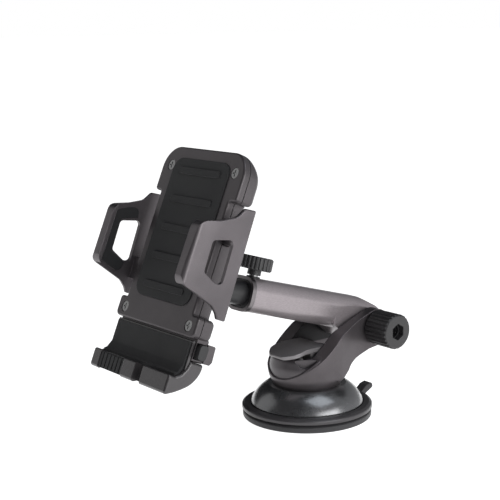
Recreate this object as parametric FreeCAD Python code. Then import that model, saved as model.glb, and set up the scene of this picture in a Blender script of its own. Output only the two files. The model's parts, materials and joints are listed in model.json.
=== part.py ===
import FreeCAD, Part

import math
import os

from FreeCAD import Vector

# Car phone mount with a suction base, a telescopic arm, a ball joint and a clamping cradle.
# Millimetres. Origin at the centre of the suction face, +Z up, -Y is the side that the
# phone's screen faces, +X is the side of the tilt knob.

# ---------------------------------------------------------------- driving dimensions
# suction base
PAD_R = 33.1                 # sticky gel pad
PAD_H = 3.7
PLATE_R = 33.5               # rigid ring above the pad
PLATE_TOP = 7.1
DOME_R = 28.8                # glossy dome, at its foot
DOME_TOP_R = 20.2
DOME_TOP = 17.0
CORE_R = 19.2                # barrel above the dome, at its widest
CORE_TOP = 32.6
FORK_R = 20.2                # fork's collar round the barrel, at its widest
STUD_R = 3.0                 # pull stud on the base axis
LEVER_PIN_Z = 27.4
WELL_FLOOR = 21.1
SCOOP_R = 8.0                # finger scoops in the barrel's rim, either side of the lever
SCOOP_LOW = 28.4
SCOOP_TURN = math.radians(38)
LEVER_HALF = 10.8            # half the lever's width
LEVER_TIP_Y = -21.0
LEVER_TOP = 37.3
LEVER_THICK = 2.2

# fork that carries the arm
FORK_IN = 11.5               # inner faces of the fork arms
FORK_OUT = 17.0
PIVOT_Y = 32.5
PIVOT_Z = 43.7
EAR_R = 10.0
BOLT_R = 3.0

# telescopic arm, in its own frame: pivot at 0, +Y backwards along the arm, +Z square to it
ARM_SLOPE = 17.0             # degrees above level, towards the cradle
ARM_HALF_W = 9.3
ARM_HALF_H = 8.4
ARM_AXIS_Z = 3.2             # the tube runs a little above the pivot
TUBE_FRONT = -79.0
TUBE_TAPER = 1.0             # degrees that the tube's top rises towards the pivot
COLLAR_LEN = 2.6
ROD_R = 6.0
BALL_Y = -101.5
BALL_R = 7.0
LOCK_KNOB_Y = -73.0

# cradle, in its own frame: middle of the phone's screen at 0, +Y away from the viewer, +Z up
CRADLE_LEAN = 23.5           # degrees, top leaning back
CRADLE_Y = -78.95
CRADLE_Z = 117.4
PHONE_W = 70.9
PHONE_T = 7.7
CASE_HALF = 32.0             # half width of the housing
WAIST_HALF = 27.0            # half width where the clamp arms slide
CASE_TOP = 29.5
WAIST_TOP = 7.0
WAIST_BOTTOM = -46.5
CASE_BOTTOM = -56.4
TAIL_BOTTOM = -66.2          # narrow tail that holds the release buttons
FRONT_Y = 8.7                # front face of the front cover
SEAM_Y = 12.4
BACK_Y = 20.0
WALL = 1.6
GEAR_Z = -19.5
GEAR_R = 6.0                 # pitch radius, 12 teeth of module 1
GEAR_TEETH = 12
ARM_FACE_X = 38.5            # outer face of each clamp arm
ARM_WALL = 2.0
FOOT_HALF = 31.5

RUN = 0.06                   # radial running clearance
GAP = 0.3                    # clearance between parts that move past each other


# ---------------------------------------------------------------- helpers
def solid_box(x0, x1, y0, y1, z0, z1):
    return Part.makeBox(x1 - x0, y1 - y0, z1 - z0, Vector(x0, y0, z0))


def rod(start, end, radius):
    """Cylinder from one point to another."""
    line = Vector(*end) - Vector(*start)
    return Part.makeCylinder(radius, line.Length, Vector(*start), line)


def rounded_wire(points, place):
    """Closed outline. Each point is (a, b, corner radius) and place turns (a, b) into a Vector."""
    count = len(points)
    corners = []
    for i in range(count):
        a, b, radius = points[i]
        here = place(a, b)
        before = place(*points[i - 1][:2]) - here
        after = place(*points[(i + 1) % count][:2]) - here
        if radius <= 0:
            corners.append((here, None, here))
            continue
        angle = before.getAngle(after)
        reach = radius / math.tan(angle / 2)
        before.normalize()
        after.normalize()
        middle = before + after
        middle.normalize()
        apex = here + middle * (radius / math.sin(angle / 2) - radius)
        corners.append((here + before * reach, apex, here + after * reach))
    edges = []
    for i in range(count):
        first, apex, last = corners[i]
        if apex is not None:
            edges.append(Part.Arc(first, apex, last).toShape())
        following = corners[(i + 1) % count][0]
        if (following - last).Length > 1e-6:
            edges.append(Part.makeLine(last, following))
    return Part.Wire(edges)


def prism_x(points, x0, x1):
    """Outline of (y, z, radius) points, pulled along X."""
    wire = rounded_wire(points, lambda a, b: Vector(x0, a, b))
    return Part.Face(wire).extrude(Vector(x1 - x0, 0, 0))


def prism_y(points, y0, y1):
    """Outline of (x, z, radius) points, pulled along Y."""
    wire = rounded_wire(points, lambda a, b: Vector(a, y0, b))
    return Part.Face(wire).extrude(Vector(0, y1 - y0, 0))


def prism_z(points, z0, z1):
    """Outline of (x, y, radius) points, pulled along Z."""
    wire = rounded_wire(points, lambda a, b: Vector(a, b, z0))
    return Part.Face(wire).extrude(Vector(0, 0, z1 - z0))


def turned(points):
    """Solid of revolution about Z from (r, z, radius) points."""
    wire = rounded_wire(points, lambda a, b: Vector(a, 0, b))
    return Part.Face(wire).revolve(Vector(0, 0, 0), Vector(0, 0, 1), 360)


def mirror_x(shape):
    return shape.mirror(Vector(0, 0, 0), Vector(1, 0, 0))


def rectangle(half_w, low, high, radius):
    return [(-half_w, low, radius), (half_w, low, radius), (half_w, high, radius), (-half_w, high, radius)]


def hexagon(across_corners, height):
    """Hexagonal bar along Z."""
    r = across_corners / 2
    points = [(r * math.cos(math.pi * i / 3), r * math.sin(math.pi * i / 3), 0) for i in range(6)]
    return prism_z(points, 0, height)


def knurled(radius, height, ribs, depth, chamfer):
    """Upright knurled wheel with its foot at z 0 and chamfered ends."""
    wheel = turned([(0, 0, 0), (radius - chamfer, 0, 0), (radius, chamfer, 0),
                    (radius, height - chamfer, 0), (radius - chamfer, height, 0), (0, height, 0)])
    groove_r = math.pi * radius / ribs * 0.55
    centre = radius + groove_r - depth
    grooves = []
    for i in range(ribs):
        turn = 2 * math.pi * i / ribs
        spot = Vector(centre * math.cos(turn), centre * math.sin(turn), -1)
        grooves.append(Part.makeCylinder(groove_r, height + 2, spot))
    return wheel.cut(Part.makeCompound(grooves))


def coil(radius, wire_r, height, turns):
    """Round wire spring along Z, starting at z 0."""
    pitch = (height - 2 * wire_r) / turns
    path = Part.makeHelix(pitch, height - 2 * wire_r, radius)
    ring = Part.Wire(Part.makeCircle(wire_r, Vector(radius, 0, 0), Vector(0, 1, 0)))
    spring = Part.Wire(path).makePipeShell([ring], True, True)
    spring.translate(Vector(0, 0, wire_r))
    return spring


def turn_about(shape, angle, axis):
    shape = shape.copy()
    shape.rotate(Vector(0, 0, 0), Vector(*axis), angle)
    return shape


def along_x(shape):
    """Lays an upright shape along +X."""
    return turn_about(shape, 90, (0, 1, 0))


def moved(shape, x, y, z):
    shape = shape.copy()
    shape.translate(Vector(x, y, z))
    return shape


def in_arm(shape):
    """From the arm's own frame to the mount's."""
    return moved(turn_about(shape, -ARM_SLOPE, (1, 0, 0)), 0, PIVOT_Y, PIVOT_Z)


def in_cradle(shape):
    """From the cradle's own frame to the mount's."""
    return moved(turn_about(shape, -CRADLE_LEAN, (1, 0, 0)), 0, CRADLE_Y, CRADLE_Z)


def arm_point(y, z):
    """Point of the arm's middle plane, in the mount's frame."""
    slope = math.radians(ARM_SLOPE)
    return (PIVOT_Y + y * math.cos(slope) + z * math.sin(slope),
            PIVOT_Z - y * math.sin(slope) + z * math.cos(slope))


def ball_in_cradle():
    """Ball centre in the cradle's own frame."""
    y, z = arm_point(BALL_Y, ARM_AXIS_Z)
    lean = math.radians(CRADLE_LEAN)
    dy, dz = y - CRADLE_Y, z - CRADLE_Z
    return (dy * math.cos(lean) - dz * math.sin(lean), dy * math.sin(lean) + dz * math.cos(lean))


# ---------------------------------------------------------------- suction base
def suction_pad():
    pad = turned([(0, 0, 0), (PAD_R, 0, 0.8), (PAD_R, 2.9, 0.6), (31.4, PAD_H, 0.4), (0, PAD_H, 0)])
    tab = prism_x([(29, 0.6, 0), (34.4, 0.6, 1.0), (44.4, 5.8, 1.0), (43.6, 8.4, 1.0), (39.8, 7.4, 1.0),
                   (34.8, 3.4, 1.0), (29, 3.2, 0)], -2.6, 2.6)
    return pad.fuse(tab).removeSplitter()


def base_plate():
    return turned([(12, PAD_H, 0), (31.5, PAD_H, 0), (31.5, 4.3, 0), (PLATE_R, 4.3, 0.4),
                   (PLATE_R, 6.2, 0.8), (32.0, PLATE_TOP, 0.3), (29.3, PLATE_TOP, 0), (29.3, 6.4, 0),
                   (12, 6.4, 0)])


def base_dome():
    """Bowl turned upside down: a convex outside over a hollow inside."""
    foot = Vector(DOME_R, 0, 6.4)
    rim = Vector(DOME_R, 0, 7.6)
    shoulder = Vector(26.2, 0, 12.2)
    top = Vector(DOME_TOP_R, 0, DOME_TOP)
    inner_top = Vector(18.6, 0, DOME_TOP - 2.4)
    inner_shoulder = Vector(23.9, 0, 10.8)
    inner_foot = Vector(26.0, 0, 6.4)
    axis_top = Vector(STUD_R + 0.6, 0, DOME_TOP)
    axis_low = Vector(STUD_R + 0.6, 0, DOME_TOP - 2.4)
    edges = [Part.makeLine(foot, rim), Part.Arc(rim, shoulder, top).toShape(),
             Part.makeLine(top, axis_top), Part.makeLine(axis_top, axis_low),
             Part.makeLine(axis_low, inner_top), Part.Arc(inner_top, inner_shoulder, inner_foot).toShape(),
             Part.makeLine(inner_foot, foot)]
    return Part.Face(Part.Wire(edges)).revolve(Vector(0, 0, 0), Vector(0, 0, 1), 360)


def core_housing():
    """Barrel on the dome. The lever's heels ride on the floor of its well."""
    barrel = turned([(STUD_R + RUN, DOME_TOP, 0), (16.2, DOME_TOP, 0), (18.4, 21.0, 8),
                     (CORE_R, 26.5, 8), (17.8, CORE_TOP, 2.2), (STUD_R + RUN, CORE_TOP, 0)])
    well = solid_box(-LEVER_HALF - GAP, LEVER_HALF + GAP, -11.5, 12.5, WELL_FLOOR, 40)
    outward = Vector(math.cos(SCOOP_TURN), -math.sin(SCOOP_TURN), 0)
    scoop = Part.makeCylinder(SCOOP_R, 14, outward * 16 + Vector(0, 0, SCOOP_LOW + SCOOP_R), outward)
    return barrel.cut(well).cut(scoop).cut(mirror_x(scoop))


def fork():
    """Collar round the barrel. Its two arms flow out of it and sweep back and up to the tilt pivot."""
    flank = [(17.2, DOME_TOP, 0), (19.4, 21.0, 8), (FORK_R, 26.5, 8)]
    collar = turned([(16.3, DOME_TOP, 0)] + flank + [
        (18.6, 34.0, 3), (12.0, 34.0, 0), (12.0, CORE_TOP + 0.01, 0), (17.9, CORE_TOP + 0.01, 2.2),
        (CORE_R + 0.1, 26.5, 8), (18.5, 21.0, 8)])
    rear = [(11.0, 20.6, 3), (13.4, 26.6, 7), (18, 29.4, 10), (28, 32.6, 6), (PIVOT_Y + 4, PIVOT_Z - 10.0, 5),
            (PIVOT_Y + 9.6, PIVOT_Z - 4, 6), (PIVOT_Y + 9.6, PIVOT_Z + 5, 7), (PIVOT_Y + 2, PIVOT_Z + 9.8, 8)]
    front = [(20, 48.6, 20), (7.7, 43.6, 10), (-3.5, 34.4, 12)]
    blade = prism_x([(-23, 16, 0), (10.5, 16, 0)] + rear + front + [(-12.6, 28.4, 10), (-19.5, 21.8, 5),
                    (-23, 21.0, 0)], -25, 25)
    arm = prism_x([(-19.0, 16, 0), (12, 16, 0)] + rear + front + [(-15, 26, 0)], FORK_IN, FORK_R + 2)
    seen_from_front = prism_y([(0, DOME_TOP, 0)] + flank + [(FORK_R, 60, 0), (0, 60, 0)], -30, 60)
    seen_from_top = prism_z([(0, -30, 0), (FORK_R, -30, 0), (FORK_R, 4, 40), (FORK_OUT, 20, 40),
                             (FORK_OUT, 60, 0), (0, 60, 0)], 10, 70)
    round_front = turned([(0, DOME_TOP, 0)] + flank + [(FORK_R, 60, 0), (0, 60, 0)])
    arm = arm.common(seen_from_front).common(seen_from_top)
    swept_back = prism_x([(0, DOME_TOP, 0), (3, DOME_TOP, 0), (13, 25, 0), (60, 25, 0), (60, 60, 0), (0, 60, 0)],
                         0, 40)
    arm = arm.common(round_front.fuse(swept_back))
    arm = arm.cut(Part.makeCylinder(CORE_R + 0.1, CORE_TOP + 0.01 - 16, Vector(0, 0, 16)))
    both = arm.fuse(mirror_x(arm))
    whole = collar.common(blade).fuse(both)
    middle_gap = solid_box(-FORK_IN, FORK_IN, -25, 60, CORE_TOP, 70)
    whole = whole.cut(middle_gap)
    bore = rod((-30, PIVOT_Y, PIVOT_Z), (30, PIVOT_Y, PIVOT_Z), BOLT_R + RUN)
    return whole.cut(bore).removeSplitter()


def suction_stud():
    """Stud that the lever pulls up, with a foot plate and a flat head carrying the lever's pin."""
    stem = rod((0, 0, 7.0), (0, 0, 26.0), STUD_R)
    plate = turned([(0, 6.4, 0), (11.4, 6.4, 0), (11.4, 8.0, 0.5), (0, 8.0, 0)])
    head = solid_box(-2.9, 2.9, -4.0, 4.0, 24.6, LEVER_PIN_Z)
    crown = rod((-2.9, 0, LEVER_PIN_Z), (2.9, 0, LEVER_PIN_Z), 4.0)
    pin_hole = rod((-5, 0, LEVER_PIN_Z), (5, 0, LEVER_PIN_Z), 1.5)
    return stem.fuse(plate).fuse(head).fuse(crown).cut(pin_hole).removeSplitter()


def stud_spring():
    return moved(coil(4.6, 0.5, 6.2, 4), 0, 0, 8.2)


def lever_pin():
    return rod((-9.6, 0, LEVER_PIN_Z), (9.6, 0, LEVER_PIN_Z), 1.5)


def suction_lever():
    """Rounded tongue with a drooping tip, and two heels that turn on the pin through the stud."""
    under = LEVER_TOP - LEVER_THICK
    plan = prism_z([(-LEVER_HALF, 5.5, 2), (-LEVER_HALF, -15, 7), (-5, LEVER_TIP_Y, 8), (5, LEVER_TIP_Y, 8),
                    (LEVER_HALF, -15, 7), (LEVER_HALF, 5.5, 2)], under - 5, LEVER_TOP + 1)
    side = prism_x([(5.5, LEVER_TOP, 1.0), (-9.0, LEVER_TOP, 14), (LEVER_TIP_Y + 0.2, LEVER_TOP - 2.9, 0.8),
                    (LEVER_TIP_Y + 0.6, under - 2.3, 0.8), (-9.5, under, 14), (5.5, under, 1.0)], -20, 20)
    heel = prism_x([(-5.4, under + 1, 0), (-5.0, LEVER_PIN_Z, 2.4), (-3.4, LEVER_PIN_Z - 5.3, 1.2),
                    (0.4, LEVER_PIN_Z - 5.4, 1.2), (3.8, LEVER_PIN_Z - 1.5, 2.2), (4.6, under + 1, 0)],
                   3.3, 9.4)
    heel = heel.cut(rod((0, 0, LEVER_PIN_Z), (12, 0, LEVER_PIN_Z), 1.5 + RUN))
    return plan.common(side).fuse(heel).fuse(mirror_x(heel)).removeSplitter()


# ---------------------------------------------------------------- tilt pivot
def pivot_bolt():
    """Bolt along X: a domed hex head on the far side, a plain shank through fork and arm."""
    shank = rod((-17.0, PIVOT_Y, PIVOT_Z), (27.6, PIVOT_Y, PIVOT_Z), BOLT_R)
    head = along_x(turned([(0, 0, 0), (3.4, 0, 0), (6.2, 2.6, 1.2), (6.2, 4.0, 0.3), (0, 4.0, 0)]))
    socket = along_x(hexagon(4.6, 2.4))
    head = moved(head.cut(moved(socket, -0.01, 0, 0)), -21.0, PIVOT_Y, PIVOT_Z)
    return shank.fuse(head)


def pivot_washers():
    """Two thin washers between the arm's lug and the fork."""
    washers = []
    thick = FORK_IN - ARM_HALF_W - 0.3
    for start in (ARM_HALF_W + 0.3, -FORK_IN):
        ring = rod((start, PIVOT_Y, PIVOT_Z), (start + thick, PIVOT_Y, PIVOT_Z), 7.0)
        washers.append(ring.cut(rod((-20, PIVOT_Y, PIVOT_Z), (20, PIVOT_Y, PIVOT_Z), BOLT_R + RUN)))
    return Part.makeCompound(washers)


def pivot_knob():
    """Knurled wheel on the bolt, with a hexagonal pocket in its end face."""
    wheel = knurled(9.0, 15.4, 24, 0.55, 0.9)
    neck = turned([(0, -0.6, 0), (6.4, -0.6, 0), (6.4, 0.2, 0), (0, 0.2, 0)])
    pocket = moved(hexagon(8.8, 6.0), 0, 0, 10.9)
    bore = Part.makeCylinder(BOLT_R + RUN, 30, Vector(0, 0, -2))
    knob = wheel.fuse(neck).cut(pocket).cut(bore)
    return moved(along_x(knob), FORK_OUT + 0.9, PIVOT_Y, PIVOT_Z)


def pivot_nut():
    """Blackened nut pressed in the bottom of the knob's pocket."""
    nut = hexagon(8.7, 1.6).cut(Part.makeCylinder(BOLT_R + RUN, 10, Vector(0, 0, -2)))
    return moved(along_x(nut), FORK_OUT + 0.9 + 10.9, PIVOT_Y, PIVOT_Z)


# ---------------------------------------------------------------- telescopic arm
def tube_section(half_w, half_h, corner, y0, y1):
    return prism_y([(-half_w, ARM_AXIS_Z - half_h, corner), (half_w, ARM_AXIS_Z - half_h, corner),
                    (half_w, ARM_AXIS_Z + half_h, corner), (-half_w, ARM_AXIS_Z + half_h, corner)], y0, y1)


def tube_body():
    """Rounded section of the outer tube. Its top rises a little towards the pivot."""
    low = ARM_AXIS_Z - ARM_HALF_H
    high = ARM_AXIS_Z + ARM_HALF_H
    front = TUBE_FRONT + COLLAR_LEN
    lower = prism_y([(-ARM_HALF_W, low, 6.4), (ARM_HALF_W, low, 6.4), (ARM_HALF_W, high + 9, 0),
                     (-ARM_HALF_W, high + 9, 0)], front, 14)
    upper = prism_y([(-ARM_HALF_W, low - 9, 0), (ARM_HALF_W, low - 9, 0), (ARM_HALF_W, high, 6.4),
                     (-ARM_HALF_W, high, 6.4)], front - 2, 16)
    upper.rotate(Vector(0, front, high), Vector(1, 0, 0), TUBE_TAPER)
    return lower.common(upper)


def arm_tube():
    """Outer tube with a lug round the pivot and a bore for the inner rod."""
    low = ARM_AXIS_Z - ARM_HALF_H
    lug_side = prism_x([(TUBE_FRONT, -20, 0), (-24, low - 0.2, 30), (-8, -9.4, 9), (7.5, -9.4, 9),
                        (10.6, 1.5, 8), (8.5, 9.4, 6), (-7, 13.4, 16), (TUBE_FRONT, 13.4, 0)], -20, 20)
    chin = prism_x([(-22, low + 2, 0), (-8, -9.4, 9), (7.5, -9.4, 9), (10.6, 1.5, 8),
                    (7.0, 8.6, 5), (-10, 8.6, 0), (-22, 6, 0)], -ARM_HALF_W, ARM_HALF_W)
    tube = tube_body().common(lug_side).fuse(chin).removeSplitter()
    bore = rod((0, TUBE_FRONT - 5, ARM_AXIS_Z), (0, -16, ARM_AXIS_Z), ROD_R + RUN)
    pivot_bore = rod((-20, 0, 0), (20, 0, 0), BOLT_R + RUN)
    screw_hole = rod((0, LOCK_KNOB_Y, ARM_AXIS_Z), (0, LOCK_KNOB_Y, 30), 2.2 + RUN)
    return in_arm(tube.cut(bore).cut(pivot_bore).cut(screw_hole))


def tube_collar():
    """Bright ring that closes the tube's front end."""
    ring = tube_section(ARM_HALF_W + 0.25, ARM_HALF_H + 0.25, 6.6, TUBE_FRONT, TUBE_FRONT + COLLAR_LEN - 0.25)
    hole = tube_section(ARM_HALF_W - 1.3, ARM_HALF_H - 1.3, 5.2, TUBE_FRONT - 1, TUBE_FRONT + COLLAR_LEN)
    return in_arm(ring.cut(hole))


def tube_bezel():
    """Black guide bush set in the collar."""
    plug = tube_section(ARM_HALF_W - 1.35, ARM_HALF_H - 1.35, 5.1, TUBE_FRONT + 0.5, TUBE_FRONT + COLLAR_LEN)
    hole = rod((0, TUBE_FRONT - 5, ARM_AXIS_Z), (0, -60, ARM_AXIS_Z), ROD_R + RUN)
    return in_arm(plug.cut(hole))


def lock_boss():
    """Round washer boss on top of the tube under the lock knob."""
    top = ARM_AXIS_Z + ARM_HALF_H
    boss = turned([(2.2 + RUN, top - 0.4, 0), (3.4, top - 0.4, 0), (3.4, top + 0.9, 0.4),
                   (2.2 + RUN, top + 0.9, 0)])
    flat = moved(boss, 0, LOCK_KNOB_Y, 0)
    return in_arm(flat.cut(tube_body()))


def lock_screw():
    """Thumb screw shank: its tip stands just off the inner rod."""
    return in_arm(rod((0, LOCK_KNOB_Y, ARM_AXIS_Z + ROD_R + 0.35), (0, LOCK_KNOB_Y, 20.0), 2.2))


def lock_knob():
    """Knurled thumb wheel with a short stem, moulded over the screw's head."""
    top = ARM_AXIS_Z + ARM_HALF_H
    wheel = knurled(8.2, 6.6, 24, 0.55, 0.7)
    stem = turned([(0, -2.6, 0), (3.4, -2.6, 0), (3.4, 0.2, 0), (0, 0.2, 0)])
    whole = wheel.fuse(stem)
    whole = moved(whole, 0, LOCK_KNOB_Y, top + 4.1)
    return in_arm(whole.cut(rod((0, LOCK_KNOB_Y, 0), (0, LOCK_KNOB_Y, 20.0), 2.2)))


def inner_rod():
    """Sliding rod with a slot for the lock screw's tip to press in."""
    bar = rod((0, BALL_Y + 12.0, ARM_AXIS_Z), (0, -18, ARM_AXIS_Z), ROD_R)
    bore = rod((0, BALL_Y + 11, ARM_AXIS_Z), (0, BALL_Y + 24, ARM_AXIS_Z), 3.0)
    return in_arm(bar.cut(bore))


def ball_stud():
    """Ball on a waisted neck whose spigot is pressed into the rod."""
    ball = Part.makeSphere(BALL_R, Vector(0, BALL_Y, ARM_AXIS_Z))
    neck = rod((0, BALL_Y, ARM_AXIS_Z), (0, BALL_Y + 12.0, ARM_AXIS_Z), 3.5)
    spigot = rod((0, BALL_Y + 11.0, ARM_AXIS_Z), (0, BALL_Y + 23.5, ARM_AXIS_Z), 3.0)
    return in_arm(ball.fuse(neck).fuse(spigot).removeSplitter())


# ---------------------------------------------------------------- ball joint, round the ball's centre
SEAT_IN = BALL_R + RUN
SEAT_OUT = 8.0
SOCKET_IN = SEAT_OUT + RUN
SOCKET_OUT = 9.6


def shell_zone(r_in, r_out, low, high):
    """Spherical shell between two planes square to Y. Negative Y points to the cradle."""
    shell = Part.makeSphere(r_out).cut(Part.makeSphere(r_in))
    return shell.common(solid_box(-r_out - 1, r_out + 1, low, high, -r_out - 1, r_out + 1))


def at_ball(shape):
    y, z = ball_in_cradle()
    return in_cradle(moved(shape, 0, y, z))


def ball_seat_front():
    return at_ball(shell_zone(SEAT_IN, SEAT_OUT, -SEAT_OUT, -5.2))


def ball_seat_ring():
    return at_ball(shell_zone(SEAT_IN, SEAT_OUT, -1.9, 1.9))


def ball_socket():
    """Cup on the back of the cradle. It reaches past the ball's middle, so it holds it in."""
    y, z = ball_in_cradle()
    back = BACK_Y - y
    cup = rod((0, back, 0), (0, 2.6, 0), SOCKET_OUT)
    flange = rod((0, back, 0), (0, back + 1.4, 0), 12.4)
    cup = cup.fuse(flange).cut(Part.makeSphere(SOCKET_IN))
    return at_ball(cup.removeSplitter())


def lock_nut():
    """Knurled ring that tightens the socket on the ball."""
    ring = knurled(12.0, 8.2, 28, 0.5, 0.7)
    hole = Part.makeCylinder(SOCKET_OUT + RUN, 30, Vector(0, 0, -1))
    ring = turn_about(ring.cut(hole), -90, (1, 0, 0))
    return at_ball(moved(ring, 0, -5.6, 0))


# ---------------------------------------------------------------- cradle housing
def case_outline(inset):
    """Front view of the housing: full width above and below a narrow waist."""
    wide = CASE_HALF - inset
    waist = WAIST_HALF - inset
    top = CASE_TOP - inset
    waist_top = WAIST_TOP + inset
    waist_low = WAIST_BOTTOM - inset
    low = CASE_BOTTOM + inset
    r = 11 - inset
    return [(-wide, top, r), (-wide, waist_top, 1.5), (-waist, waist_top, 1.2), (-waist, waist_low, 1.2),
            (-wide, waist_low, 1.5), (-wide, low, 2.5), (wide, low, 2.5), (wide, waist_low, 1.5),
            (waist, waist_low, 1.2), (waist, waist_top, 1.2), (wide, waist_top, 1.5), (wide, top, r)]


def arm_slots():
    """Openings in both flanks where the clamp arms' tongues slide."""
    slots = []
    for side in (1, -1):
        low, high = tongue_span(side)
        x0, x1 = sorted((side * 20, side * 40))
        slots.append(solid_box(x0, x1, 12.9 - GAP, 16.3 + GAP, low - GAP, high + GAP))
    return Part.makeCompound(slots)


def tongue_span(side):
    """Height range of a clamp arm's tongue: the right one runs above the gear, the left below."""
    inner = GEAR_R + 0.05 + 1.25
    if side > 0:
        return (GEAR_Z + inner, GEAR_Z + inner + 11)
    return (GEAR_Z - inner - 11, GEAR_Z - inner)


SCREW_SPOTS = [(-25, 20), (25, 20), (-26, -51.4), (26, -51.4)]
RAIL_X = (-17.0, 17.0)


def rail_slots():
    slots = []
    for x in RAIL_X:
        slots.append(solid_box(x - 3 - GAP, x + 3 + GAP, 13.4 - GAP, 16.4 + GAP, -70, -47))
    return Part.makeCompound(slots)


def domed_back(inset):
    """Side view of the housing's back, which curves forward to its top."""
    back = BACK_Y - inset
    return [(SEAM_Y - 2, -60, 0), (back, -60, 0), (back, 19.5, 14), (13.4 - inset, 31, 0), (SEAM_Y - 2, 31, 0)]


def rear_cover():
    """Rear half of the housing: a tray with screw posts, the gear's post and the button tail."""
    outer = prism_y(case_outline(0), SEAM_Y + 0.2, BACK_Y).common(prism_x(domed_back(0), -40, 40))
    rim = [e for e in outer.Edges if e.BoundBox.YMin > SEAM_Y + 0.4]
    outer = outer.makeFillet(3.6, rim)
    inner = prism_y(case_outline(WALL), SEAM_Y - 1, BACK_Y - WALL).common(prism_x(domed_back(WALL), -40, 40))
    tray = outer.cut(inner)
    for x, z in SCREW_SPOTS:
        tray = tray.fuse(rod((x, SEAM_Y + 0.2, z), (x, BACK_Y - 0.5, z), 2.8).common(outer))
    tray = tray.fuse(rod((0, 12.0, GEAR_Z), (0, BACK_Y - 0.5, GEAR_Z), 2.0))
    tail = prism_y(rectangle(31.0, TAIL_BOTTOM, CASE_BOTTOM + 1.5, 1.5), 12.6, 19.0)
    tail = tail.cut(prism_y(rectangle(29.5, TAIL_BOTTOM + 1.5, CASE_BOTTOM, 0.8), 13.4 - GAP, 17.6))
    button_ports = solid_box(-40, 40, 12.9, 18.1, TAIL_BOTTOM + 1.3, CASE_BOTTOM - 1.1)
    middle_wall = solid_box(-20, 20, 10, 30, -80, -40)
    tail = tail.cut(button_ports.cut(middle_wall))
    guards = []
    for side in (1, -1):
        x0, x1 = sorted((side * 24.0, side * 32.0))
        ear = prism_x([(18.6, -57.0, 0), (22.9, -57.0, 1.0), (23.3, -64.2, 1.2), (22.2, -65.8, 1.0),
                       (18.6, -65.8, 0)], x0, x1)
        guards.append(ear)
    whole = tray.fuse(tail).fuse(guards)
    for x, z in SCREW_SPOTS:
        whole = whole.cut(rod((x, 5, z), (x, BACK_Y - 2.0, z), 1.25))
    return in_cradle(whole.cut(arm_slots()).cut(rail_slots()).removeSplitter())


def front_cover():
    outer = prism_y(case_outline(0), FRONT_Y, SEAM_Y - 0.2)
    rim = [e for e in outer.Edges if abs(e.BoundBox.YMax - FRONT_Y) < 1e-4]
    outer = outer.makeFillet(1.0, rim)
    inner = prism_y(case_outline(WALL), FRONT_Y + WALL, SEAM_Y + 1)
    tray = outer.cut(inner)
    lip = prism_y(case_outline(WALL + 0.15), SEAM_Y - 1.6, SEAM_Y + 1.2)
    lip = lip.cut(prism_y(case_outline(WALL + 1.0), SEAM_Y - 3, SEAM_Y + 3))
    tray = tray.fuse(lip)
    for x, z in SCREW_SPOTS:
        tray = tray.fuse(rod((x, FRONT_Y + 1, z), (x, SEAM_Y - 0.2, z), 2.8))
        tray = tray.cut(rod((x, FRONT_Y - 1, z), (x, SEAM_Y + 2, z), 1.6))
        tray = tray.cut(rod((x, FRONT_Y - 1, z), (x, FRONT_Y + 1.5, z), 2.7))
        tray = tray.cut(rod((x, SEAM_Y - 0.19, z), (x, SEAM_Y + 2, z), 3.0))
    pad_seat = prism_y(rectangle(22.0, -44, 24, 6), FRONT_Y - 1, FRONT_Y + 0.5)
    return in_cradle(tray.cut(pad_seat).cut(arm_slots()).cut(rail_slots()).removeSplitter())


def front_pad():
    """Rubber sheet that the phone's back rests on, with raised bars."""
    sheet = prism_y(rectangle(21.9, -43.9, 23.9, 5.9), PHONE_T + 0.5, FRONT_Y + 0.5)
    bars = []
    for i in range(5):
        middle = -38 + 14 * i
        bars.append(prism_y([(-16, middle - 1.6, 1.4), (16, middle - 1.6, 1.4), (16, middle + 1.6, 1.4),
                             (-16, middle + 1.6, 1.4)], PHONE_T + 0.05, PHONE_T + 0.6))
    return in_cradle(sheet.fuse(bars).removeSplitter())


def case_screws():
    """Four countersunk screws that hold the two covers together."""
    screws = []
    for x, z in SCREW_SPOTS:
        head = rod((x, FRONT_Y + 0.3, z), (x, FRONT_Y + 1.5, z), 2.5)
        shank = rod((x, FRONT_Y + 1.4, z), (x, BACK_Y - 3.0, z), 1.2)
        slot = solid_box(x - 1.6, x + 1.6, FRONT_Y, FRONT_Y + 0.8, z - 0.3, z + 0.3)
        cross = solid_box(x - 0.3, x + 0.3, FRONT_Y, FRONT_Y + 0.8, z - 1.6, z + 1.6)
        screws.append(head.fuse(shank).cut(slot).cut(cross))
    return in_cradle(Part.makeCompound(screws))


# ---------------------------------------------------------------- clamp arms and gear
RACK_TIP = 0.65              # height of a rack tooth above the pitch line
PRESSURE = math.radians(20)


def rack_teeth(count, thickness_y):
    """Rack along X: teeth point to -Z, pitch line at z 0, centred on a tooth gap at x 0."""
    pitch = math.pi
    half = pitch / 4 - 0.10
    teeth = []
    for i in range(count):
        x = (i + 0.5) * pitch
        slope = math.tan(PRESSURE)
        top, root = -RACK_TIP, 1.3
        points = [(x - half + slope * RACK_TIP, top, 0), (x + half - slope * RACK_TIP, top, 0),
                  (x + half + slope * root, root, 0), (x - half - slope * root, root, 0)]
        teeth.append(prism_y(points, 0, thickness_y))
    return Part.makeCompound(teeth)


def clamp_profile():
    """Side view of a clamp arm (y, z): a tall back edge and a hooked front with a lip."""
    return [(16.8, 6.0, 0.8), (10.8, 5.2, 2.0), (7.7, 0.4, 5.0), (0.5, -3.2, 3.0), (-10.4, -7.0, 5.5),
            (-11.0, -34.8, 5.5), (-2.8, -37.0, 3.0), (8.8, -40.2, 5.0), (12.4, -43.0, 4.0), (13.8, -45.2, 1.0),
            (18.2, -45.2, 0.8)]


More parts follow.
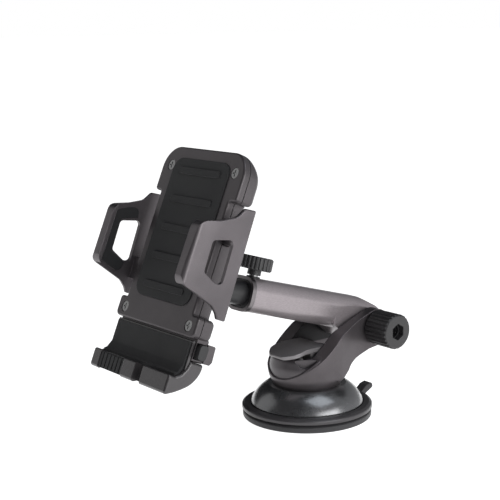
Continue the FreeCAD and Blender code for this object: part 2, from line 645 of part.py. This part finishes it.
def clamp_window():
    """Rounded slot through the clamp arm's side wall."""
    return [(9.8, -9.6, 2.2), (-1.6, -12.9, 2.0), (-1.2, -27.4, 1.6), (6.4, -30.6, 1.8), (10.6, -30.2, 2.2)]


def clamp_arm():
    """Side wall with its inward lip in front of the screen, and the toothed tongue behind."""
    inner_x = ARM_FACE_X - ARM_WALL
    blade = prism_x(clamp_profile(), 20, ARM_FACE_X)
    rim = [e for e in blade.Edges if abs(e.BoundBox.XMin - ARM_FACE_X) < 1e-4]
    blade = blade.makeFillet(0.7, rim)
    wrap = prism_z([(ARM_FACE_X, 20, 0), (inner_x, 20, 0), (inner_x, -8.2, 1.0), (31.6, -8.2, 0.4),
                    (31.6, -10.8, 0.4), (ARM_FACE_X - 0.8, -10.8, 2.2), (ARM_FACE_X, -2, 60)], -50, 12)
    arm = blade.common(wrap)
    window = prism_x(clamp_window(), 30, 45)
    arm = arm.cut(window)
    low, high = tongue_span(1)
    tongue = solid_box(-15.0, inner_x + 0.5, 12.9, 16.3, low, high)
    teeth = moved(rack_teeth(10, 3.4), -5 * math.pi + math.pi / 2, 12.9, GEAR_Z + GEAR_R + 0.05)
    teeth = teeth.common(solid_box(-15.0, 13.0, 10, 20, -60, 20))
    return arm.fuse(tongue).fuse(teeth).removeSplitter()


def right_arm():
    return in_cradle(clamp_arm())


def left_arm():
    """Mirror image of the right arm's wall, with its tongue below the gear."""
    right = clamp_arm()
    wall = mirror_x(right.common(solid_box(30.2, 60, -20, 30, -60, 20)))
    tongue = right.common(solid_box(-30, 30.2, -20, 30, -60, 20))
    tongue = turn_about(moved(tongue, 0, 0, -GEAR_Z), 180, (0, 1, 0))
    tongue = moved(tongue, 0, 0, GEAR_Z)
    low, high = tongue_span(-1)
    bridge = solid_box(-ARM_FACE_X + ARM_WALL - 0.5, -30.1, 12.9, 16.3, low, high)
    full_tongue = tongue.fuse(bridge)
    low, high = tongue_span(1)
    stump = solid_box(-ARM_FACE_X + ARM_WALL, -30, 12.8, 16.4, low - 0.1, high + 0.1)
    return in_cradle(wall.cut(stump).fuse(full_tongue).removeSplitter())


def arm_pad(side):
    """Rubber lining of the wall and lip, with a raised rim round the window."""
    inner_x = ARM_FACE_X - ARM_WALL
    face_x = PHONE_W / 2 + 0.1
    sheet = prism_x([(6.6, -3.4, 3.0), (0.2, -5.6, 3.0), (-7.6, -9.4, 3.0), (-8.1, -33.2, 3.0),
                     (-1.4, -35.0, 3.0), (6.6, -37.2, 3.0)], face_x, inner_x)
    hole = prism_x([(6.7, -8.8, 0.5), (-2.4, -12.0, 2.0), (-2.0, -28.3, 1.6), (6.7, -31.6, 0.5)], 30, 45)
    backing = sheet.cut(hole)
    rib = prism_x([(5.6, -34.2, 0.4), (-6.4, -31.8, 0.6), (-6.4, -30.6, 0.6), (5.6, -33.0, 0.4)],
                  face_x, face_x + 0.2)
    pad = backing.fuse(rib).cut(clamp_arm()).removeSplitter()
    if side < 0:
        pad = mirror_x(pad)
    return in_cradle(pad)


def involute(base_r, roll):
    """Point of an involute, from its roll angle."""
    return (base_r * (math.cos(roll) + roll * math.sin(roll)), base_r * (math.sin(roll) - roll * math.cos(roll)))


def gear():
    """Twelve-tooth pinion on the housing's post. It keeps both clamp arms level with each other."""
    base_r = GEAR_R * math.cos(PRESSURE)
    tip_r, root_r = GEAR_R + 0.8, GEAR_R - 1.0
    half_tooth = math.pi / (2 * GEAR_TEETH) - 0.10 / GEAR_R
    roll_pitch = math.tan(PRESSURE)
    offset = half_tooth + roll_pitch - PRESSURE
    tip_roll = math.sqrt((tip_r / base_r) ** 2 - 1)
    teeth = []
    for i in range(GEAR_TEETH):
        turn = 2 * math.pi * (i + 0.5) / GEAR_TEETH
        left = []
        right = []
        for step in range(7):
            x, y = involute(base_r, tip_roll * step / 6)
            r, a = math.hypot(x, y), math.atan2(y, x)
            right.append(Vector(r * math.cos(turn - offset + a), 0, r * math.sin(turn - offset + a)))
            left.append(Vector(r * math.cos(turn + offset - a), 0, r * math.sin(turn + offset - a)))
        foot = Vector((root_r - 0.3) * math.cos(turn - offset), 0, (root_r - 0.3) * math.sin(turn - offset))
        heel = Vector((root_r - 0.3) * math.cos(turn + offset), 0, (root_r - 0.3) * math.sin(turn + offset))
        points = [foot] + right + left[::-1] + [heel, foot]
        teeth.append(Part.Face(Part.makePolygon(points)).extrude(Vector(0, 3.2, 0)))
    hub = Part.makeCylinder(root_r, 3.2, Vector(0, 0, 0), Vector(0, 1, 0))
    wheel = hub.fuse(teeth).cut(Part.makeCylinder(2.0 + RUN, 10, Vector(0, -2, 0), Vector(0, 1, 0)))
    return in_cradle(moved(wheel.removeSplitter(), 0, 12.98, GEAR_Z))


def gear_spring():
    """Torsion spring round the post behind the gear."""
    spring = turn_about(coil(3.2, 0.3, 1.9, 1.5), -90, (1, 0, 0))
    return in_cradle(moved(spring, 0, 16.35, GEAR_Z))


# ---------------------------------------------------------------- release buttons
def release_button(side):
    """Side button with a rounded cap, a collar that keeps it in and a guide stem."""
    low, high = TAIL_BOTTOM + 1.6, CASE_BOTTOM - 1.4
    cap = prism_x([(13.2, low, 1.6), (17.8, low, 1.6), (17.8, high, 1.6), (13.2, high, 1.6)], 25.5, 34.0)
    stem = rod((23.4, 15.5, (low + high) / 2), (26, 15.5, (low + high) / 2), 1.3)
    button = cap.fuse(stem)
    if side < 0:
        button = mirror_x(button)
    return in_cradle(button)


def button_spring(side):
    """Short return spring round the stem's end; the cap reaches it at the end of its travel."""
    spring = along_x(coil(1.9, 0.3, 2.9, 3))
    spring = moved(spring, 20.3, 15.5, (TAIL_BOTTOM + CASE_BOTTOM + 0.2) / 2)
    if side < 0:
        spring = mirror_x(spring)
    return in_cradle(spring)


# ---------------------------------------------------------------- foot
def foot():
    """J-shaped ledge under the phone, with two rails that slide in the housing."""
    outer = [(12.3, -66.3, 0), (19.9, -66.3, 1.0), (19.9, -70.6, 12), (16.6, -76.6, 14), (8.5, -81.6, 35),
             (3.0, -83.6, 1.4), (2.9, -74.0, 1.0), (6.4, -74.4, 1.5), (9.4, -72.8, 1.5), (11.4, -69.6, 2)]
    shell = prism_x(outer, -FOOT_HALF, FOOT_HALF)
    ends = [e for e in shell.Edges if abs(e.BoundBox.XMax - e.BoundBox.XMin) < 1e-6]
    shell = shell.makeFillet(1.2, ends)
    back_plate = prism_x([(10.9, -57.2, 0.4), (12.1, -57.2, 0.4), (12.35, -71.2, 0), (10.9, -71.2, 0)],
                         -FOOT_HALF + 1, FOOT_HALF - 1)
    rails = []
    for x in RAIL_X:
        rails.append(solid_box(x - 3, x + 3, 13.4, 16.4, -67.5, -48.5))
    groove = solid_box(4.5, 11.0, -5, 6.6, -90, -60)
    pocket = solid_box(-25, -5, -5, 5.6, -90, -60)
    whole = shell.fuse(back_plate).fuse(rails).cut(groove).cut(pocket)
    return in_cradle(whole.removeSplitter())


def foot_liner():
    """Rubber strip along the inside of the hook, where the phone's lower edge sits."""
    strip = prism_x([(9.9, -58.0, 0), (11.4, -58.0, 0), (11.4, -72.0, 0), (8.6, -76.0, 0), (6.9, -76.0, 0),
                     (6.9, -73.2, 0.3), (8.2, -72.4, 0.8), (9.9, -68.8, 2.0)],
                    -FOOT_HALF + 2, FOOT_HALF - 2)
    return in_cradle(strip).cut(foot()).removeSplitter()


def foot_pad():
    """Ribbed rubber block set in the recess of the foot's front."""
    block = prism_x([(5.6, -82.0, 0), (3.4, -82.6, 0.3), (3.3, -74.8, 0.5), (5.6, -74.5, 0)], -24.9, -5.1)
    grooves = []
    for i in range(6):
        x = -22.5 + 3.1 * i
        grooves.append(solid_box(x - 0.4, x + 0.4, 0, 4.2, -84, -60))
    return in_cradle(block.cut(Part.makeCompound(grooves)))


# ---------------------------------------------------------------- export
NODES = {
    "suction_pad": suction_pad,
    "base_plate": base_plate,
    "base_dome": base_dome,
    "core_housing": core_housing,
    "fork": fork,
    "suction_stud": suction_stud,
    "stud_spring": stud_spring,
    "lever_pin": lever_pin,
    "suction_lever": suction_lever,
    "pivot_bolt": pivot_bolt,
    "pivot_washers": pivot_washers,
    "pivot_knob": pivot_knob,
    "pivot_nut": pivot_nut,
    "arm_tube": arm_tube,
    "tube_collar": tube_collar,
    "tube_bezel": tube_bezel,
    "lock_boss": lock_boss,
    "lock_screw": lock_screw,
    "lock_knob": lock_knob,
    "inner_rod": inner_rod,
    "ball_stud": ball_stud,
    "ball_seat_front": ball_seat_front,
    "ball_seat_ring": ball_seat_ring,
    "ball_socket": ball_socket,
    "lock_nut": lock_nut,
    "rear_cover": rear_cover,
    "front_cover": front_cover,
    "front_pad": front_pad,
    "case_screws": case_screws,
    "right_arm": right_arm,
    "left_arm": left_arm,
    "right_arm_pad": lambda: arm_pad(1),
    "left_arm_pad": lambda: arm_pad(-1),
    "gear": gear,
    "gear_spring": gear_spring,
    "right_button": lambda: release_button(1),
    "left_button": lambda: release_button(-1),
    "right_button_spring": lambda: button_spring(1),
    "left_button_spring": lambda: button_spring(-1),
    "foot": foot,
    "foot_liner": foot_liner,
    "foot_pad": foot_pad,
}

os.makedirs("parts", exist_ok=True)
for name, make in NODES.items():
    shape = make()
    shape.exportStep("parts/" + name + ".step")
    print(name, len(shape.Solids), shape.isValid(), round(shape.Volume, 1))
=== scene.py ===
"""Looks of the car phone mount: materials, studio light and camera."""
import json
import math

import bpy
from mathutils import Matrix, Vector

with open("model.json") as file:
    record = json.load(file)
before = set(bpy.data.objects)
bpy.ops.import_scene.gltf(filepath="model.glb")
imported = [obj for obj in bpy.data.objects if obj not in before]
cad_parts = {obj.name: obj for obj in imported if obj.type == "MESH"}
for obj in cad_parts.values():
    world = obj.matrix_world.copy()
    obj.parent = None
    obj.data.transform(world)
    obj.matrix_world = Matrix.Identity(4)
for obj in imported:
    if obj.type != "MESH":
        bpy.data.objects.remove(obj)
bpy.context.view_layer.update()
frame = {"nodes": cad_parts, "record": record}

MM = 0.001

# ---------------------------------------------------------------- camera
CAMERA_PLACE = Vector((0.45178, -0.38781, 0.19669))
CAMERA_AZIMUTH = math.radians(52.05)     # round from -Y towards +X
CAMERA_PITCH = math.radians(10.53)       # looking down
CAMERA_ROLL = math.radians(-1.03)
LENS_MM = 86.4
SENSOR_MM = 36
NEAREST_SEEN = 0.01


def add_camera():
    right = Vector((math.cos(CAMERA_AZIMUTH), math.sin(CAMERA_AZIMUTH), 0))
    back = Vector((math.sin(CAMERA_AZIMUTH) * math.cos(CAMERA_PITCH),
                   -math.cos(CAMERA_AZIMUTH) * math.cos(CAMERA_PITCH), math.sin(CAMERA_PITCH)))
    up = back.cross(right)
    level = Matrix((right, up, back)).transposed()
    roll = Matrix.Rotation(CAMERA_ROLL, 3, "Z")
    data = bpy.data.cameras.new("camera")
    data.lens = LENS_MM
    data.sensor_width = SENSOR_MM
    data.clip_start = NEAREST_SEEN
    camera = bpy.data.objects.new("camera", data)
    camera.matrix_world = Matrix.Translation(CAMERA_PLACE) @ (level @ roll).to_4x4()
    bpy.context.scene.collection.objects.link(camera)
    bpy.context.scene.camera = camera


# ---------------------------------------------------------------- material nodes
MIX_FIRST, MIX_SECOND, MIX_RESULT = 6, 7, 2    # a colour mix node's sockets
NOISE_SPREAD = (0.3, 0.7)                      # most of a noise's values lie between these


def new_material(name):
    material = bpy.data.materials.new(name)
    material.use_nodes = True
    tree = material.node_tree
    return material, tree, tree.nodes["Principled BSDF"]


def feed(tree, socket, value):
    """Links an output to the socket, or sets the socket to a plain value."""
    if isinstance(value, bpy.types.NodeSocket):
        tree.links.new(value, socket)
    else:
        socket.default_value = value


def noise(tree, place, scale, detail, roughness=0.5):
    node = tree.nodes.new("ShaderNodeTexNoise")
    node.inputs["Scale"].default_value = scale
    node.inputs["Detail"].default_value = detail
    node.inputs["Roughness"].default_value = roughness
    tree.links.new(place, node.inputs["Vector"])
    return node.outputs["Fac"]


def stretched(tree, place, factors):
    node = tree.nodes.new("ShaderNodeMapping")
    node.inputs["Scale"].default_value = factors
    tree.links.new(place, node.inputs["Vector"])
    return node.outputs[0]


def ramp_between(tree, source, low, high, low_at, high_at):
    node = tree.nodes.new("ShaderNodeValToRGB")
    node.color_ramp.elements[0].position = low_at
    node.color_ramp.elements[0].color = (*low, 1)
    node.color_ramp.elements[1].position = high_at
    node.color_ramp.elements[1].color = (*high, 1)
    tree.links.new(source, node.inputs[0])
    return node.outputs["Color"]


def map_range(tree, source, low, high, from_low, from_high):
    node = tree.nodes.new("ShaderNodeMapRange")
    node.inputs["From Min"].default_value = from_low
    node.inputs["From Max"].default_value = from_high
    node.inputs["To Min"].default_value = low
    node.inputs["To Max"].default_value = high
    tree.links.new(source, node.inputs["Value"])
    return node.outputs[0]


def mix_colours(tree, factor, first, second, blend="MIX"):
    node = tree.nodes.new("ShaderNodeMix")
    node.data_type = "RGBA"
    node.blend_type = blend
    feed(tree, node.inputs["Factor"], factor)
    feed(tree, node.inputs[MIX_FIRST], first)
    feed(tree, node.inputs[MIX_SECOND], second)
    return node.outputs[MIX_RESULT]


def scaled(colour, factor):
    return tuple(min(1.0, c * factor) for c in colour)


# ---------------------------------------------------------------- studio
WHITE = (1, 1, 1, 1)
FLOOR_HALF = 30.0
FLOOR_GRAY = (0.6, 0.6, 0.6, 1)
FLOOR_ROUGH = 0.9
FLOOR_SPECULAR = 0.1
FLOOR_GLOW = 1.0                         # keeps the paper white out to the horizon
BRIGHT_SIDE = (0.7, 0.48, -0.53)         # direction in which the surround is palest
SKY_PALE = (0.85, 0.86, 0.88)
SKY_DARK = (0.03, 0.031, 0.034)
SKY_FADE = (-0.55, 0.75)                 # dark to pale, by the cosine of the angle to BRIGHT_SIDE
SKY_RAMP = (0.1, 0.9)                    # share of that fade over which the colour changes
SKY_STRENGTH = 0.7
LIGHTS_AIM = Vector((0.0, -0.02, 0.08))  # about the middle of the object


def area_light(name, place, size, watts, colour=(1, 1, 1)):
    data = bpy.data.lights.new(name, "AREA")
    data.shape = "RECTANGLE"
    data.size, data.size_y = size
    data.energy = watts
    data.color = colour
    light = bpy.data.objects.new(name, data)
    light.location = place
    light.rotation_euler = (LIGHTS_AIM - Vector(place)).to_track_quat("-Z", "Y").to_euler()
    bpy.context.scene.collection.objects.link(light)


def add_lights():
    area_light("side_key", place=(0.95, 0.1, 0.3), size=(0.8, 0.5), watts=5)
    area_light("overhead", place=(0.4, 0.1, 0.95), size=(0.6, 0.6), watts=2.4, colour=(0.88, 0.94, 1.0))
    area_light("front_fill", place=(-0.9, -0.65, 0.5), size=(0.9, 0.9), watts=1.5)


def add_world():
    """Surround that is palest low down towards +X and +Y and dark opposite; the backdrop is white."""
    world = bpy.data.worlds.new("studio")
    bpy.context.scene.world = world
    world.use_nodes = True
    tree = world.node_tree
    tree.nodes.clear()
    coords = tree.nodes.new("ShaderNodeTexCoord")
    toward = tree.nodes.new("ShaderNodeVectorMath")
    toward.operation = "DOT_PRODUCT"
    toward.inputs[1].default_value = BRIGHT_SIDE
    span = map_range(tree, toward.outputs["Value"], 0.0, 1.0, *SKY_FADE)
    sky = ramp_between(tree, span, SKY_DARK, SKY_PALE, *SKY_RAMP)
    glow = tree.nodes.new("ShaderNodeBackground")
    glow.inputs["Strength"].default_value = SKY_STRENGTH
    plain = tree.nodes.new("ShaderNodeBackground")
    plain.inputs["Color"].default_value = WHITE
    plain.inputs["Strength"].default_value = 1.0
    path = tree.nodes.new("ShaderNodeLightPath")
    mix = tree.nodes.new("ShaderNodeMixShader")
    out = tree.nodes.new("ShaderNodeOutputWorld")
    tree.links.new(coords.outputs["Generated"], toward.inputs[0])
    tree.links.new(sky, glow.inputs["Color"])
    tree.links.new(path.outputs["Is Camera Ray"], mix.inputs[0])
    tree.links.new(glow.outputs[0], mix.inputs[1])
    tree.links.new(plain.outputs[0], mix.inputs[2])
    tree.links.new(mix.outputs[0], out.inputs[0])


def add_floor():
    mesh = bpy.data.meshes.new("floor")
    h = FLOOR_HALF
    mesh.from_pydata([(-h, -h, 0), (h, -h, 0), (h, h, 0), (-h, h, 0)], [], [(0, 1, 2, 3)])
    floor = bpy.data.objects.new("floor", mesh)
    bpy.context.scene.collection.objects.link(floor)
    material, _, shader = new_material("floor_paper")
    shader.inputs["Base Color"].default_value = FLOOR_GRAY
    shader.inputs["Roughness"].default_value = FLOOR_ROUGH
    shader.inputs["Specular IOR Level"].default_value = FLOOR_SPECULAR
    shader.inputs["Emission Color"].default_value = WHITE
    shader.inputs["Emission Strength"].default_value = FLOOR_GLOW
    mesh.materials.append(material)


# ---------------------------------------------------------------- moulded and machined surfaces
GRAPHITE = (0.11, 0.099, 0.105)          # warm dark gray of the painted plastic
BLACK = (0.022, 0.021, 0.022)
MOTTLE_SCALE = 60                        # patches about 17 mm across
SPECK_DARK = (0.86, 0.86, 0.86)
SPECK_LIGHT = (1.1, 1.1, 1.1)
SPECK_SPREAD = (0.35, 0.65)
SPECK_SHARE = 0.7
GRAIN_DEPTH_MM = 0.05
EDGE_LEAN = (0.82, 0.995)                # cosine of the lean on a full edge, and on a flat
ROUGH_LOW, ROUGH_HIGH = 0.88, 1.12       # roughness of the patches, times the surface's own
ZONE_BLEND_MM = 0.2
FORK_INSIDE = (11.8, 33.0)               # painted shade on the inner faces of the fork's arms: just past the faces of the fork's arms, just above the core


def edge_mask(tree, radius):
    """The rounded normal, and 1 on sharp edges, 0 on flats, by how far it leans from the true one."""
    bevel = tree.nodes.new("ShaderNodeBevel")
    bevel.samples = 4
    bevel.inputs["Radius"].default_value = radius
    geometry = tree.nodes.new("ShaderNodeNewGeometry")
    dot = tree.nodes.new("ShaderNodeVectorMath")
    dot.operation = "DOT_PRODUCT"
    tree.links.new(bevel.outputs[0], dot.inputs[0])
    tree.links.new(geometry.outputs["Normal"], dot.inputs[1])
    return bevel.outputs[0], map_range(tree, dot.outputs["Value"], 1.0, 0.0, *EDGE_LEAN)


def painted_shade_zone(tree, place, half_width_mm, low_mm):
    """Mask of the painted shade: 1 within half_width_mm of the middle plane and above low_mm, 0 elsewhere.
    """
    split = tree.nodes.new("ShaderNodeSeparateXYZ")
    tree.links.new(place, split.inputs[0])
    distance = tree.nodes.new("ShaderNodeMath")
    distance.operation = "ABSOLUTE"
    tree.links.new(split.outputs["X"], distance.inputs[0])
    near = map_range(tree, distance.outputs[0], 1.0, 0.0, (half_width_mm - ZONE_BLEND_MM) * MM,
                     (half_width_mm + ZONE_BLEND_MM) * MM)
    high = map_range(tree, split.outputs["Z"], 0.0, 1.0, low_mm * MM, (low_mm + 2 * ZONE_BLEND_MM) * MM)
    both = tree.nodes.new("ShaderNodeMath")
    both.operation = "MULTIPLY"
    tree.links.new(near, both.inputs[0])
    tree.links.new(high, both.inputs[1])
    return both.outputs[0]


def grained(tree, height, normal, strength):
    """The normal with the fine grain's relief on it."""
    bump = tree.nodes.new("ShaderNodeBump")
    bump.inputs["Strength"].default_value = strength
    bump.inputs["Distance"].default_value = GRAIN_DEPTH_MM * MM
    tree.links.new(height, bump.inputs["Height"])
    tree.links.new(normal, bump.inputs["Normal"])
    return bump.outputs[0]


def surface(name, colour, rough, grain_mm=0.25, grain=0.12, metallic=0.0, specular=0.5, coat=0.0,
            coat_rough=0.2, sheen=0.0, mottling=0.12, wear_and_highlight=1.35, bevel_mm=0.35, brushed=None,
            painted_shade_inside=None):
    """Moulded or machined surface: fine grain, soft mottling, edges lightened partly as rubbing and partly
    as painted highlight, and rounded edge light.

    brushed stretches the grain along one axis, as (x, y, z) factors. The last argument is (half width,
    lowest height) in mm of the painted shade:
    nearer to the middle plane than that, and higher, the surface is painted black as shade.
    """
    material, tree, shader = new_material(name)
    place = tree.nodes.new("ShaderNodeTexCoord").outputs["Object"]
    broad = noise(tree, place, MOTTLE_SCALE, detail=3)
    fine_place = stretched(tree, place, brushed) if brushed else place
    fine = noise(tree, fine_place, 1 / (grain_mm * MM), detail=2, roughness=0.6)
    body = ramp_between(tree, broad, scaled(colour, 1 - mottling), scaled(colour, 1 + mottling),
                        *NOISE_SPREAD)
    speck = ramp_between(tree, fine, SPECK_DARK, SPECK_LIGHT, *SPECK_SPREAD)
    tint = mix_colours(tree, SPECK_SHARE, body, speck, "MULTIPLY")
    # edges lightened in the base colour: partly rubbing, partly a painted highlight on the rounded edges
    rounded, edge = edge_mask(tree, bevel_mm * MM)
    finished = mix_colours(tree, edge, tint, (*scaled(colour, wear_and_highlight), 1))
    # painted shade: black painted over the zone given, standing in for the shade on the fork's inner faces
    if painted_shade_inside:
        finished = mix_colours(tree, painted_shade_zone(tree, place, *painted_shade_inside), finished, (*BLACK, 1))
    roughness = map_range(tree, broad, rough * ROUGH_LOW, min(1.0, rough * ROUGH_HIGH), *NOISE_SPREAD)
    tree.links.new(finished, shader.inputs["Base Color"])
    tree.links.new(roughness, shader.inputs["Roughness"])
    tree.links.new(grained(tree, fine, rounded, grain), shader.inputs["Normal"])
    shader.inputs["Metallic"].default_value = metallic
    shader.inputs["Specular IOR Level"].default_value = specular
    shader.inputs["Coat Weight"].default_value = coat
    shader.inputs["Coat Roughness"].default_value = coat_rough
    shader.inputs["Sheen Weight"].default_value = sheen
    return material


def make_materials():
    """One material for each of the record's slots."""
    steel = dict(metallic=1.0, grain=0.2, mottling=0.06, wear_and_highlight=1.1, bevel_mm=0.15)
    soft = dict(grain=0.5, specular=0.3, sheen=0.1, wear_and_highlight=1.2)
    return {
        "gel_rubber": surface("gel_rubber", (0.035, 0.034, 0.036), 0.55, grain_mm=0.5, **soft),
        "plate_plastic": surface("plate_plastic", (0.055, 0.052, 0.055), 0.32, grain_mm=0.3, metallic=0.3),
        "dome_gloss": surface("dome_gloss", (0.15, 0.151, 0.156), 0.25, grain_mm=1.5, grain=0.02,
                              metallic=0.85, coat=0.7, coat_rough=0.2, mottling=0.03, wear_and_highlight=1.3),
        "core_plastic": surface("core_plastic", (0.08, 0.072, 0.077), 0.36, metallic=0.45),
        # the inner faces of the fork's arms are painted black as shade
        "fork_plastic": surface("fork_plastic", (0.1, 0.09, 0.095), 0.36, metallic=0.6, specular=0.25,
                                wear_and_highlight=2.2, bevel_mm=0.5, painted_shade_inside=FORK_INSIDE),
        "stud_steel": surface("stud_steel", (0.6, 0.6, 0.6), 0.3, **steel),
        "spring_steel": surface("spring_steel", (0.55, 0.55, 0.57), 0.28, **steel),
        "pin_steel": surface("pin_steel", (0.6, 0.6, 0.6), 0.25, **steel),
        "lever_plastic": surface("lever_plastic", (0.2, 0.19, 0.195), 0.36, metallic=0.4, wear_and_highlight=1.6),
        "bolt_steel": surface("bolt_steel", (0.06, 0.06, 0.062), 0.35, metallic=0.8, grain=0.15),
        "washer_rubber": surface("washer_rubber", BLACK, 0.75, **soft),
        "knob_plastic": surface("knob_plastic", (0.024, 0.023, 0.024), 0.42, grain=0.3, wear_and_highlight=3.0),
        "nut_steel": surface("nut_steel", (0.03, 0.03, 0.032), 0.4, metallic=0.6, grain=0.15),
        "tube_satin": surface("tube_satin", (0.31, 0.278, 0.289), 0.3, metallic=0.6, grain=0.02,
                              mottling=0.03, brushed=(1.0, 0.15, 1.0)),
        "collar_metal": surface("collar_metal", (0.2, 0.185, 0.19), 0.3, brushed=(0.2, 1.0, 0.2), **steel),
        "bezel_plastic": surface("bezel_plastic", (0.014, 0.014, 0.015), 0.45),
        "screw_steel": surface("screw_steel", (0.3, 0.3, 0.3), 0.3, **steel),
        "rod_plastic": surface("rod_plastic", (0.016, 0.016, 0.017), 0.35),
        "ball_plastic": surface("ball_plastic", (0.02, 0.02, 0.021), 0.25, grain=0.04, specular=0.6),
        "seat_plastic": surface("seat_plastic", (0.5, 0.5, 0.48), 0.5),
        "case_plastic": surface("case_plastic", (0.08, 0.072, 0.076), 0.36, metallic=0.5, wear_and_highlight=1.6),
        "pad_rubber": surface("pad_rubber", (0.018, 0.018, 0.019), 0.75, grain_mm=0.4, **soft),
        "arm_plastic": surface("arm_plastic", GRAPHITE, 0.34, metallic=0.6, wear_and_highlight=1.7, bevel_mm=0.5),
        "arm_rubber": surface("arm_rubber", (0.012, 0.012, 0.013), 0.7, grain_mm=0.4, **soft),
        "gear_plastic": surface("gear_plastic", (0.72, 0.71, 0.67), 0.5),
        "button_plastic": surface("button_plastic", (0.014, 0.014, 0.015), 0.45),
        "foot_plastic": surface("foot_plastic", (0.05, 0.046, 0.048), 0.22, metallic=0.3, coat=0.4,
                                wear_and_highlight=1.8),
        "foot_rubber": surface("foot_rubber", (0.012, 0.012, 0.013), 0.6, grain_mm=0.4, **soft),
    }


def dress_nodes(materials):
    """Gives each CAD node the finished material of its slot."""
    for part in frame["record"]["subparts"]:
        node = frame["nodes"][part["node"]]
        material = materials[part["material_slot"]]
        if not node.material_slots:
            node.data.materials.append(material)
        for slot in node.material_slots:
            slot.material = material


# ---------------------------------------------------------------- the scene
add_camera()
add_world()
add_floor()
add_lights()
dress_nodes(make_materials())

bpy.context.scene.view_settings.view_transform = "Standard"
